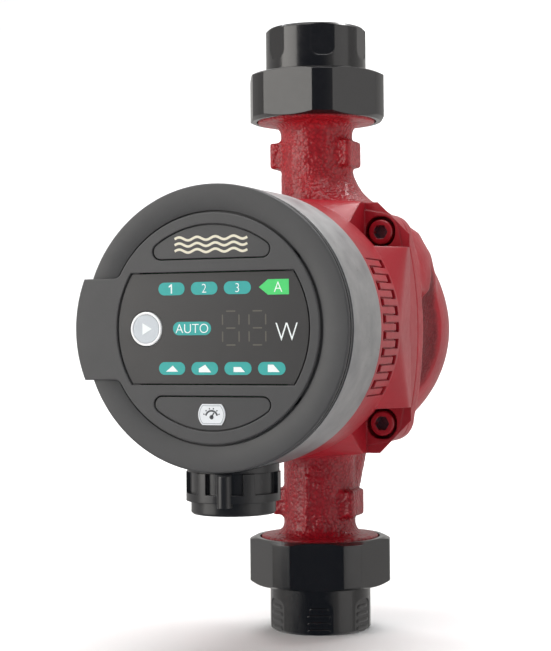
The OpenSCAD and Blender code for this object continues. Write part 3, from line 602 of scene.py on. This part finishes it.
def remeshed(node):
    """A finely and evenly meshed copy of a CAD node."""
    source = nodes[node]
    work = bpy.data.objects.new(node + "_work", source.data.copy())
    bpy.context.scene.collection.objects.link(work)
    work.matrix_world = source.matrix_world
    cast = work.modifiers.new("cast", "REMESH")
    cast.mode = "VOXEL"
    cast.voxel_size = CAST_VOXEL * MM
    bpy.context.view_layer.update()
    mesh = bpy.data.meshes.new_from_object(work.evaluated_get(bpy.context.evaluated_depsgraph_get()))
    mesh.transform(source.matrix_world)
    bpy.data.objects.remove(work)
    return mesh


def points_of(mesh):
    flat = np.zeros(len(mesh.vertices) * 3)
    mesh.vertices.foreach_get("co", flat)
    return flat.reshape(-1, 3)


def relax(mesh, points, weight, rounds):
    """Moves each point towards the middle of its neighbours."""
    ends = np.zeros(len(mesh.edges) * 2, dtype=np.int64)
    mesh.edges.foreach_get("vertices", ends)
    one, two = ends[0::2], ends[1::2]
    count = len(points)
    degree = np.bincount(one, minlength=count) + np.bincount(two, minlength=count)
    for _ in range(rounds):
        total = np.stack([np.bincount(one, points[two, k], count) + np.bincount(two, points[one, k], count)
                          for k in range(3)], 1)
        points = points + weight[:, None] * (total / degree[:, None] - points) * 0.5
    return points


def grain_of(points, size_mm, seed=0.0):
    """Smooth noise from 0 to 1, worked out point by point."""
    k = 1 / (size_mm * MM)
    return np.array([0.5 + 0.5 * noise.noise((x * k + seed, y * k, z * k)) for x, y, z in points])


def blobs_of(points, size_mm):
    """Rounded lumps packed together: 1 on their tops and 0 between them."""
    k = 1 / (size_mm * MM)
    return np.array([1 - min(1.0, noise.voronoi((x * k, y * k, z * k))[0][0] * 1.25) ** 2
                     for x, y, z in points])


def own(points):
    """x to the right, d ahead of the pipe and z up from the motor axis, in millimetres."""
    return points[:, 0] / MM, -points[:, 1] / MM, (points[:, 2] - MID) / MM


def fits_of(x, d, z):
    """1 where the casting fits another piece, and has to keep its exact surface."""
    high = np.abs(z)
    in_union_thread = smooth_step(high, 83.0, 84.5)
    in_chamber = smooth_step(-np.hypot(x, z), -37.0, -36.0) * smooth_step(d, -31.0, -29.0)
    in_waterway = smooth_step(-np.hypot(x, d), -14.6, -14.0) * smooth_step(high, 36.0, 40.0)
    in_bolt_hole = smooth_step(-np.hypot(np.abs(x) - BOLT_AT, high - BOLT_AT), -5.6, -4.6)
    return np.maximum.reduce([in_union_thread, in_chamber, in_waterway, in_bolt_hole])


def cast_depth(points):
    """How far each point of the cast surface sinks: fine grain, lumpy necks, the side hollow."""
    x, d, z = own(points)
    on_neck = smooth_step(np.abs(z), 45.0, 54.0)
    depth = (0.05 + 0.07 * grain_of(points, 6.0)) * grain_of(points, 1.9, 7.0)
    rough = on_neck > 0.01
    lumps = np.zeros(len(points))
    lumps[rough] = 1 - blobs_of(points[rough], 2.0)
    on_lug = smooth_step(np.abs(x), 14.4, 15.6)
    depth = depth + on_neck * (1 - 0.8 * on_lug) * (0.2 * lumps + 0.3 * grain_of(points, 5.0, 3.0))
    across = (-d + HOLLOW_D) / 7.0
    along = z / 26.0
    hollow = np.clip(1 - across ** 2 - along ** 2, 0, 1) * smooth_step(x, 28.0, 36.0)
    return depth + hollow * (1.7 + 0.7 * grain_of(points, 2.4, 5.0))


def casting():
    """Cast body: soft edges everywhere but at its fits, rough necks and a side hollow."""
    mesh = remeshed("pump_casing")
    points = points_of(mesh)
    x, d, z = own(points)
    cast = 1 - fits_of(x, d, z)
    points = relax(mesh, points, cast, EDGE_ROUNDS)
    flare_foot = (smooth_step(np.abs(x), 30.0, 38.0) * smooth_step(-np.abs(z - FLARE_FOOT_Z), -9.0, -4.0)
                  * smooth_step(-d, -10.6, -9.4))
    points = relax(mesh, points, cast * flare_foot, FLARE_FOOT_ROUNDS)
    mesh.vertices.foreach_set("co", points.ravel())
    mesh.update()
    normals = np.zeros(len(points) * 3)
    mesh.vertices.foreach_get("normal", normals)
    points = points - normals.reshape(-1, 3) * (cast_depth(points) * cast * MM)[:, None]
    mesh.vertices.foreach_set("co", points.ravel())
    mesh.shade_smooth()
    new_piece("pump_casing_detail", mesh, "casing_paint", "pump", ["pump_casing"])


def tail_ridges():
    """Four low grip ridges on each flat of the lower tailpiece."""
    low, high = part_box("inlet_tailpiece")
    centre = (low + high) / 2
    flat_at, first_turn, width, rise = 19.2, -11.0, 9.6, 0.42
    flats, ridges, pitch = 6, 4, 2.75
    bm = bmesh.new()
    for k in range(flats):
        turn = math.radians(first_turn + 60 * k)
        out = Vector((math.cos(turn), math.sin(turn), 0))
        side = Vector((-out.y, out.x, 0))
        for i in range(ridges):
            level = low.z + (1.7 + pitch * i) * MM
            span = width / 2 - (0.9 if i == ridges - 1 else 0.0)
            rows = []
            for j in range(13):
                u = -1 + j / 6
                swell = math.sqrt(max(0.0, 1 - abs(u) ** 6)) * 0.94 + 0.06
                middle = (Vector((centre.x, centre.y, level)) + out * (flat_at - 0.06) * MM
                          + side * u * span * MM)
                rows.append([bm.verts.new(middle + out * (rise * swell * math.sin(a) * MM)
                                          + Vector((0, 0, 0.8 * swell * math.cos(a) * MM)))
                             for a in [math.pi * m / 8 for m in range(9)]])
            for one, two in zip(rows, rows[1:]):
                for m in range(9):
                    q = (m + 1) % 9
                    bm.faces.new((one[m], one[q], two[q], two[m]))
            bm.faces.new(rows[0])
            bm.faces.new(rows[-1][::-1])
    bmesh.ops.recalc_face_normals(bm, faces=bm.faces)
    new_piece("tail_ridges", to_mesh(bm), "union_black", "inlet_union")


# ---------- front of the control unit ----------

TAB_HALF = 17.75
TAB_BLEND = 3.0
TAB_R = 46.0
TAB_SHIFT = TAB_REACH - TAB_R
UPPER = (35.4, 23.9, 2.7)
LOWER = (34.9, 23.4, 2.7)
GROOVE = 0.35


def cover_loop():
    """The round cover with its tab on the left, joined by fillets."""
    reach = math.sqrt((COVER_R + TAB_BLEND) ** 2 - (TAB_HALF + TAB_BLEND) ** 2)
    rim = math.degrees(math.atan2(TAB_HALF + TAB_BLEND, reach))
    tip = math.degrees(math.asin(TAB_HALF / TAB_R))
    upper_fillet = arc(-reach, TAB_HALF + TAB_BLEND, TAB_BLEND, -rim, -90, 8)
    lower_fillet = [(x, -z) for x, z in reversed(upper_fillet)]
    return (arc(0, 0, COVER_R, -180 + rim, 180 - rim, 120)
            + upper_fillet[1:]
            + arc(-TAB_SHIFT, 0, TAB_R, 180 - tip, 180 + tip, 24)
            + lower_fillet[:-1])


def tab_wrap_loop():
    """The part of the tab that reaches past the box and wraps round its side."""
    tip = math.degrees(math.asin(TAB_HALF / TAB_R))
    inner = RING_R + 0.12
    inner_tip = math.degrees(math.asin(TAB_HALF / inner))
    return (arc(-TAB_SHIFT, 0, TAB_R, 180 - tip, 180 + tip, 24)
            + arc(0, 0, inner, 180 + inner_tip, 180 - inner_tip, 24))


def front_cover():
    """Raised cover with its openings, and the tab's turned-down edge."""
    face = plate(cover_loop(), [band(PANEL_R + 0.55, PANEL_HALF + 0.4), crescent(*UPPER, GROOVE, 1),
                                crescent(*LOWER, GROOVE, -1)],
                 BOX_FRONT + 0.02, COVER_FRONT, 0.45, hole_edge=0.28)
    wrap = plate(tab_wrap_loop(), [], BOX_BACK - 0.8, BOX_FRONT + 0.03, 0.01, 1)
    new_piece("front_cover_detail", join([face, wrap]), "cover_plastic", "pump",
              ["front_cover"])


def control_box():
    """Outer disc: two deep grooves round its side, a rolled front edge, a moat round the cover."""
    back, front, r = BOX_BACK, BOX_FRONT, RING_R
    groove_r, soft, roll = r - 1.1, 0.12, 0.75
    profile = [(33.6, front - 2), (46, front - 2), (46, back), (groove_r, back)]
    for low, high in ((back + 1.15, back + 2.15), (back + 3.25, None)):
        profile += [(groove_r, low), (r - soft, low), (r, low + soft)]
        if high:
            profile += [(r, high - soft), (r - soft, high), (groove_r, high)]
    profile += [(r - roll + roll * math.cos(a), front - roll + roll * math.sin(a))
                for a in [math.radians(i * 10) for i in range(10)]]
    profile += [(COVER_R + 0.95, front), (COVER_R + 0.7, front - 0.12), (COVER_R + 0.6, front - 0.75),
                (COVER_R - 0.6, front - 0.75), (COVER_R - 0.8, front), (33.6, front)]
    new_piece("control_box_detail", lathe(profile), "box_plastic", "pump",
              ["control_box"])


PILL_W, PILL_H, PILL_STEP, PILL_X, ROW_Z = 10.0, 4.4, 12.37, -15.05, 13.7
AUTO = (-7.4, 0.0, 14.4, 4.6)
ARROW = (17.6, 20.9, 28.5, 2.6)
BUTTON_X = -24.8
BUTTON_R = 5.95


def arrow_loop(grow=0.0):
    tip, shoulder, tail, half = ARROW
    low, high = ROW_Z - half - grow, ROW_Z + half + grow
    return [(tip - grow, ROW_Z), (shoulder - grow / 2, low), (tail + grow, low),
            (tail + grow, high), (shoulder - grow / 2, high)]


def speed_pills():
    return [pill(PILL_X + i * PILL_STEP, ROW_Z, PILL_W, PILL_H) for i in range(3)]


def curve_pills():
    return [pill(PILL_X + i * PILL_STEP, -ROW_Z, PILL_W, PILL_H) for i in range(4)]


def display_panel():
    """Dark panel with a hole for the button, and the lit fields that stand in it."""
    face = plate(band(PANEL_R, PANEL_HALF), [circle(BUTTON_R + 0.28, 64, BUTTON_X)],
                 PANEL_FRONT - 1.55, PANEL_FRONT, 0.12, 2)
    new_piece("display_panel_detail", face, "panel_film", "pump", ["display_panel"])
    for name, loops, slot in (("speed_lenses", speed_pills(), "lens_teal"),
                              ("auto_lens", [pill(*AUTO)], "lens_teal"),
                              ("curve_lenses", curve_pills(), "lens_teal"),
                              ("class_lens", [arrow_loop()], "lens_green")):
        made = [plate(loop, [], PANEL_FRONT - 1.0, LENS_FRONT, 0.02, 2) for loop in loops]
        new_piece(name + "_detail", join(made), slot, "pump", [name])


def insets():
    """Crescents above and below the panel."""
    for name, size, side in (("upper_inset", UPPER, 1), ("lower_inset", LOWER, -1)):
        mesh = plate(crescent(*size, 0.0, side), [], BOX_FRONT + 0.02, INSET_FRONT, 0.3)
        new_piece(name + "_detail", mesh, "inset_plastic", "pump", [name])


def stroke(points, width):
    """A loop round a line of points, as a ribbon of one width."""
    left, right = [], []
    for i, p in enumerate(points):
        a = Vector(points[max(i - 1, 0)])
        b = Vector(points[min(i + 1, len(points) - 1)])
        t = (b - a).normalized()
        left.append((p[0] - t.y * width / 2, p[1] + t.x * width / 2))
        right.append((p[0] + t.y * width / 2, p[1] - t.x * width / 2))
    return left + right[::-1]


def printed(name, loops, level, material, body="pump", thick=0.05):
    """Thin raised print with one or more outlines."""
    made = [plate(loop, [], level - 0.03, level + thick, 0.012, 1) for loop in loops]
    return new_piece(name, join(made), material, body)


def lettering(name, text, cx, cz, size, level, material, body="pump", thin=0.0, wide=1.0):
    """Flat printed characters, centred on a point."""
    curve = bpy.data.curves.new(name, "FONT")
    curve.body = text
    curve.size = size
    curve.extrude = 0.04
    curve.offset = -thin
    curve.align_x = "CENTER"
    curve.align_y = "CENTER"
    curve.resolution_u = 6
    text_obj = bpy.data.objects.new(name + "_text", curve)
    bpy.context.scene.collection.objects.link(text_obj)
    bpy.context.view_layer.update()
    mesh = bpy.data.meshes.new_from_object(text_obj.evaluated_get(bpy.context.evaluated_depsgraph_get()))
    bpy.data.objects.remove(text_obj)
    co = np.zeros(len(mesh.vertices) * 3)
    mesh.vertices.foreach_get("co", co)
    co = co.reshape(-1, 3)
    middle = (co.min(0) + co.max(0)) / 2
    flat = np.stack([(co[:, 0] - middle[0]) * wide + cx, co[:, 1] - middle[1] + cz,
                     level + np.where(co[:, 2] > 0, 0.05, -0.03)], 1)
    place = np.stack([flat[:, 0] * MM, -flat[:, 2] * MM, MID + flat[:, 1] * MM], 1)
    mesh.vertices.foreach_set("co", place.ravel())
    bm = bmesh.new()
    bm.from_mesh(mesh)
    bmesh.ops.remove_doubles(bm, verts=bm.verts, dist=1e-7)
    bmesh.ops.recalc_face_normals(bm, faces=bm.faces)
    bm.to_mesh(mesh)
    bm.free()
    return new_piece(name, mesh, material, body)


def legends():
    """Figures, words and curve shapes on the lit fields, and the unit beside the display."""
    stem, flag = 0.24, 1.62
    one = [(stem, -flag), (stem, flag), (-stem + 0.1, flag), (-1.0, 0.95), (-1.0, 0.45), (-stem, 0.85),
           (-stem, -flag)]
    printed("speed_1", [[(x + PILL_X, z + ROW_Z) for x, z in one]], LENS_FRONT, "print_white")
    for i in (1, 2):
        lettering(f"speed_{i + 1}", str(i + 1), PILL_X + i * PILL_STEP, ROW_Z, 4.5, LENS_FRONT,
                  "print_white", thin=0.06, wide=0.9)
    lettering("auto_word", "AUTO", AUTO[0], AUTO[1], 4.6, LENS_FRONT, "print_white",
              thin=0.05, wide=0.98)
    lettering("class_letter", "A", 24.6, ROW_Z, 5.2, LENS_FRONT, "print_white",
              thin=0.06, wide=0.92)
    lettering("watt_letter", "W", 27.55, -1.45, 9.4, PANEL_FRONT, "print_white",
              thin=0.16, wide=0.86)
    curves = [[(-2.3, -1.1), (2.3, -1.1), (0.3, 1.0)],
              [(-2.2, -1.3), (2.4, -1.3), (0.2, 1.3), (-2.2, 0.0)],
              [(-1.6, -1.2), (2.6, -1.2), (1.0, 0.5), (-1.6, 0.5)],
              [(-1.4, -1.2), (2.9, -1.2), (0.6, 1.3), (-1.4, 1.3)]]
    for i, shape in enumerate(curves):
        at = PILL_X + i * PILL_STEP
        printed(f"curve_{i + 1}", [[(x + at, z - ROW_Z) for x, z in shape]], LENS_FRONT, "print_white")


def segment(cx, cz, length, width, upright):
    half, w = length / 2, width / 2
    flat = [(-half, 0), (-half + w, -w), (half - w, -w), (half, 0), (half - w, w), (-half + w, w)]
    return [(cx + z, cz + x) if upright else (cx + x, cz + z) for x, z in flat]


def digits():
    """Two unlit seven-segment digits."""
    loops = []
    for cx in (7.15, 16.95):
        w, h = 3.05, 5.75
        for k in (-1, 0, 1):
            loops.append(segment(cx, k * h, 3.6, 0.5, False))
        for sx in (-1, 1):
            for sz in (-1, 1):
                loops.append(segment(cx + sx * w, sz * h / 2, 3.7, 0.5, True))
    printed("digit_segments", loops, PANEL_FRONT, "print_dim", thick=0.02)


def upper_mark():
    """Generic mark: three level waves."""
    loops = []
    for k in (-1, 0, 1):
        line = [(x / 10, 28.7 + k * 2.1 + 0.55 * math.sin(x / 10 * math.pi / 3.4))
                for x in range(-136, 137, 4)]
        loops.append(stroke(line, 0.85))
    printed("upper_mark", loops, INSET_FRONT, "mark_cream")


def rounded(r, half, cz, steps=16):
    """Circle of radius r between two level lines, round its own height."""
    return [(x, z + cz) for x, z in band(r, half, steps)]


def badge():
    """Round-sided label with a thin frame and a pressure gauge."""
    cz = (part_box("badge")[0].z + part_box("badge")[1].z) / 2 / MM - MID / MM
    r, half = 5.05, 3.6
    front = BADGE_FRONT - 0.06
    face = plate(rounded(r, half, cz), [], INSET_FRONT + 0.02, front, 0.18, 3)
    new_piece("badge_detail", face, "badge_white", "pump", ["badge"])
    frame_ring = plate(rounded(r - 0.45, half - 0.45, cz), [rounded(r - 0.7, half - 0.7, cz)],
                       front - 0.03, front + 0.03, 0.01, 1)
    new_piece("badge_frame", frame_ring, "frame_grey", "pump")
    low = cz - 0.9
    gauge = stroke([(x, z + low) for x, z in arc(0, 0, 2.2, 15, 165, 24)], 0.6)
    needle = stroke([(0, low), (0.9, low + 1.5)], 0.5)
    hub = circle(0.75, 24, 0, low)
    ticks = [stroke([(math.cos(math.radians(t)) * 2.75, low + math.sin(math.radians(t)) * 2.75),
                     (math.cos(math.radians(t)) * 3.25, low + math.sin(math.radians(t)) * 3.25)], 0.4)
             for t in range(20, 161, 28)]
    printed("badge_gauge", [gauge, needle, hub, *ticks], front, "print_dark")


def button():
    """Silver cap in a white rim, with a raised play triangle."""
    at = Vector((BUTTON_X * MM, 0, 0))
    foot = PANEL_FRONT - 1.5
    rim = lathe([(BUTTON_R - 0.92, foot), (BUTTON_R, foot), (BUTTON_R, BUTTON_FRONT - 0.3),
                 (BUTTON_R - 0.08, BUTTON_FRONT - 0.1), (BUTTON_R - 0.28, BUTTON_FRONT),
                 (BUTTON_R - 0.6, BUTTON_FRONT), (BUTTON_R - 0.82, BUTTON_FRONT - 0.1),
                 (BUTTON_R - 0.92, BUTTON_FRONT - 0.3)], 96)
    rim.transform(Matrix.Translation(at))
    new_piece("button_rim_detail", rim, "button_white", "button", ["button_rim"])
    dish = BUTTON_R - 0.97
    cap = lathe([(0.02, foot), (dish, foot), (dish, BUTTON_FRONT - 0.35),
                 (dish - 0.15, BUTTON_FRONT - 0.2), (dish - 0.5, BUTTON_FRONT - 0.17),
                 (dish * 0.5, BUTTON_FRONT - 0.24), (0.02, BUTTON_FRONT - 0.27)], 96)
    cap.transform(Matrix.Translation(at))
    new_piece("button_cap_detail", cap, "button_grey", "button", ["button_cap"])
    play = [(BUTTON_X - 1.4, -2.0), (BUTTON_X + 2.2, 0.0), (BUTTON_X - 1.4, 2.0)]
    printed("play_mark", [play], BUTTON_FRONT - 0.22, "print_white", "button", 0.06)


casting()
tail_ridges()
control_box()
front_cover()
display_panel()
insets()
legends()
digits()
upper_mark()
badge()
button()


# ---------- studio ----------

def studio():
    floor_size, wall_at, bend = 3.0, 1.9, 0.7
    profile = [(-floor_size, 0.0)]
    profile += [(wall_at - bend + bend * math.sin(a), bend - bend * math.cos(a))
                for a in [math.radians(i * 5) for i in range(19)]]
    profile += [(wall_at, 3.0)]
    bm = bmesh.new()
    rows = [[bm.verts.new((x, y, z)) for y, z in profile] for x in (-floor_size, floor_size)]
    for i in range(len(profile) - 1):
        bm.faces.new((rows[0][i], rows[0][i + 1], rows[1][i + 1], rows[1][i]))
    bmesh.ops.recalc_face_normals(bm, faces=bm.faces)
    mesh = bpy.data.meshes.new("studio")
    bm.to_mesh(mesh)
    bm.free()
    mesh.shade_smooth()
    mesh.materials.append(floor_material())
    floor = bpy.data.objects.new("studio", mesh)
    floor.visible_glossy = False
    bpy.context.scene.collection.objects.link(floor)


def softbox(name, at, size, power, colour, target=(0.0, -0.03, 0.12)):
    light = bpy.data.lights.new(name, "AREA")
    light.shape = "RECTANGLE"
    light.size, light.size_y = size
    light.energy = power
    light.color = colour
    lamp = bpy.data.objects.new(name, light)
    bpy.context.scene.collection.objects.link(lamp)
    lamp.location = at
    lamp.rotation_mode = "QUATERNION"
    lamp.rotation_quaternion = (Vector(target) - Vector(at)).to_track_quat("-Z", "Y")
    lamp.visible_camera = False


def world():
    """Soft room: bright behind, above and at both sides, dark and bluish towards the viewer."""
    made = bpy.data.worlds.new("room")
    made.use_nodes = True
    n = Nodes(made.node_tree)
    xyz = n.add("ShaderNodeSeparateXYZ", {0: n.add("ShaderNodeTexCoord").outputs["Generated"]}).outputs
    side = n.math("ABSOLUTE", xyz[0])
    bright = n.math("MAXIMUM", n.span(side, 0.55, 0.95), n.span(xyz[2], 0.3, 0.95))
    bright = n.math("MAXIMUM", bright, n.span(xyz[1], 0.0, 0.6))
    tone = n.ramp(bright, (0.0, (0.10, 0.13, 0.18)), (1.0, (0.84, 0.82, 0.80)))
    room = n.add("ShaderNodeBackground", {"Color": tone, "Strength": 0.62})
    out = n.add("ShaderNodeOutputWorld")
    n.tree.links.new(room.outputs[0], out.inputs[0])
    bpy.context.scene.world = made


def camera():
    """At the height of the motor axis, 20.65 degrees to the right of the panel's axis."""
    azimuth, yaw, pitch, roll = (math.radians(a) for a in (20.65, -1.54, 0.36, -0.49))
    distance, height, focal_mm = 0.6363, 0.11687, 87.69
    forward = Vector((-math.sin(azimuth), math.cos(azimuth), 0))
    right = Vector((math.cos(azimuth), math.sin(azimuth), 0))
    up = Vector((0, 0, 1))
    forward, right = (forward * math.cos(yaw) + right * math.sin(yaw),
                      right * math.cos(yaw) - forward * math.sin(yaw))
    forward, up = (forward * math.cos(pitch) + up * math.sin(pitch),
                   up * math.cos(pitch) - forward * math.sin(pitch))
    right, up = (right * math.cos(roll) + up * math.sin(roll),
                 up * math.cos(roll) - right * math.sin(roll))
    cam = bpy.data.objects.new("camera", bpy.data.cameras.new("camera"))
    bpy.context.scene.collection.objects.link(cam)
    cam.data.sensor_width = 36
    cam.data.lens = focal_mm
    cam.data.clip_start = 0.01
    cam.data.clip_end = 20
    place = Matrix((right, up, -forward)).transposed().to_4x4()
    place.translation = (distance * math.sin(azimuth), -distance * math.cos(azimuth), height)
    cam.matrix_world = place
    bpy.context.scene.camera = cam


bpy.context.scene.view_settings.view_transform = "Standard"
studio()
world()
softbox("key_left", (-0.75, -0.80, 0.40), (0.8, 1.0), 8.6, (1.0, 0.97, 0.92))
softbox("fill_right", (1.15, -0.20, 0.30), (0.8, 1.1), 1.6, (1.0, 0.98, 0.97))
softbox("top", (0.05, -0.25, 1.25), (0.9, 0.7), 9.0, (1.0, 1.0, 1.0))
softbox("backdrop_wash", (0.0, 0.9, 1.6), (2.0, 0.6), 50, (1.0, 1.0, 1.0), (0.0, 1.8, 0.2))
camera()
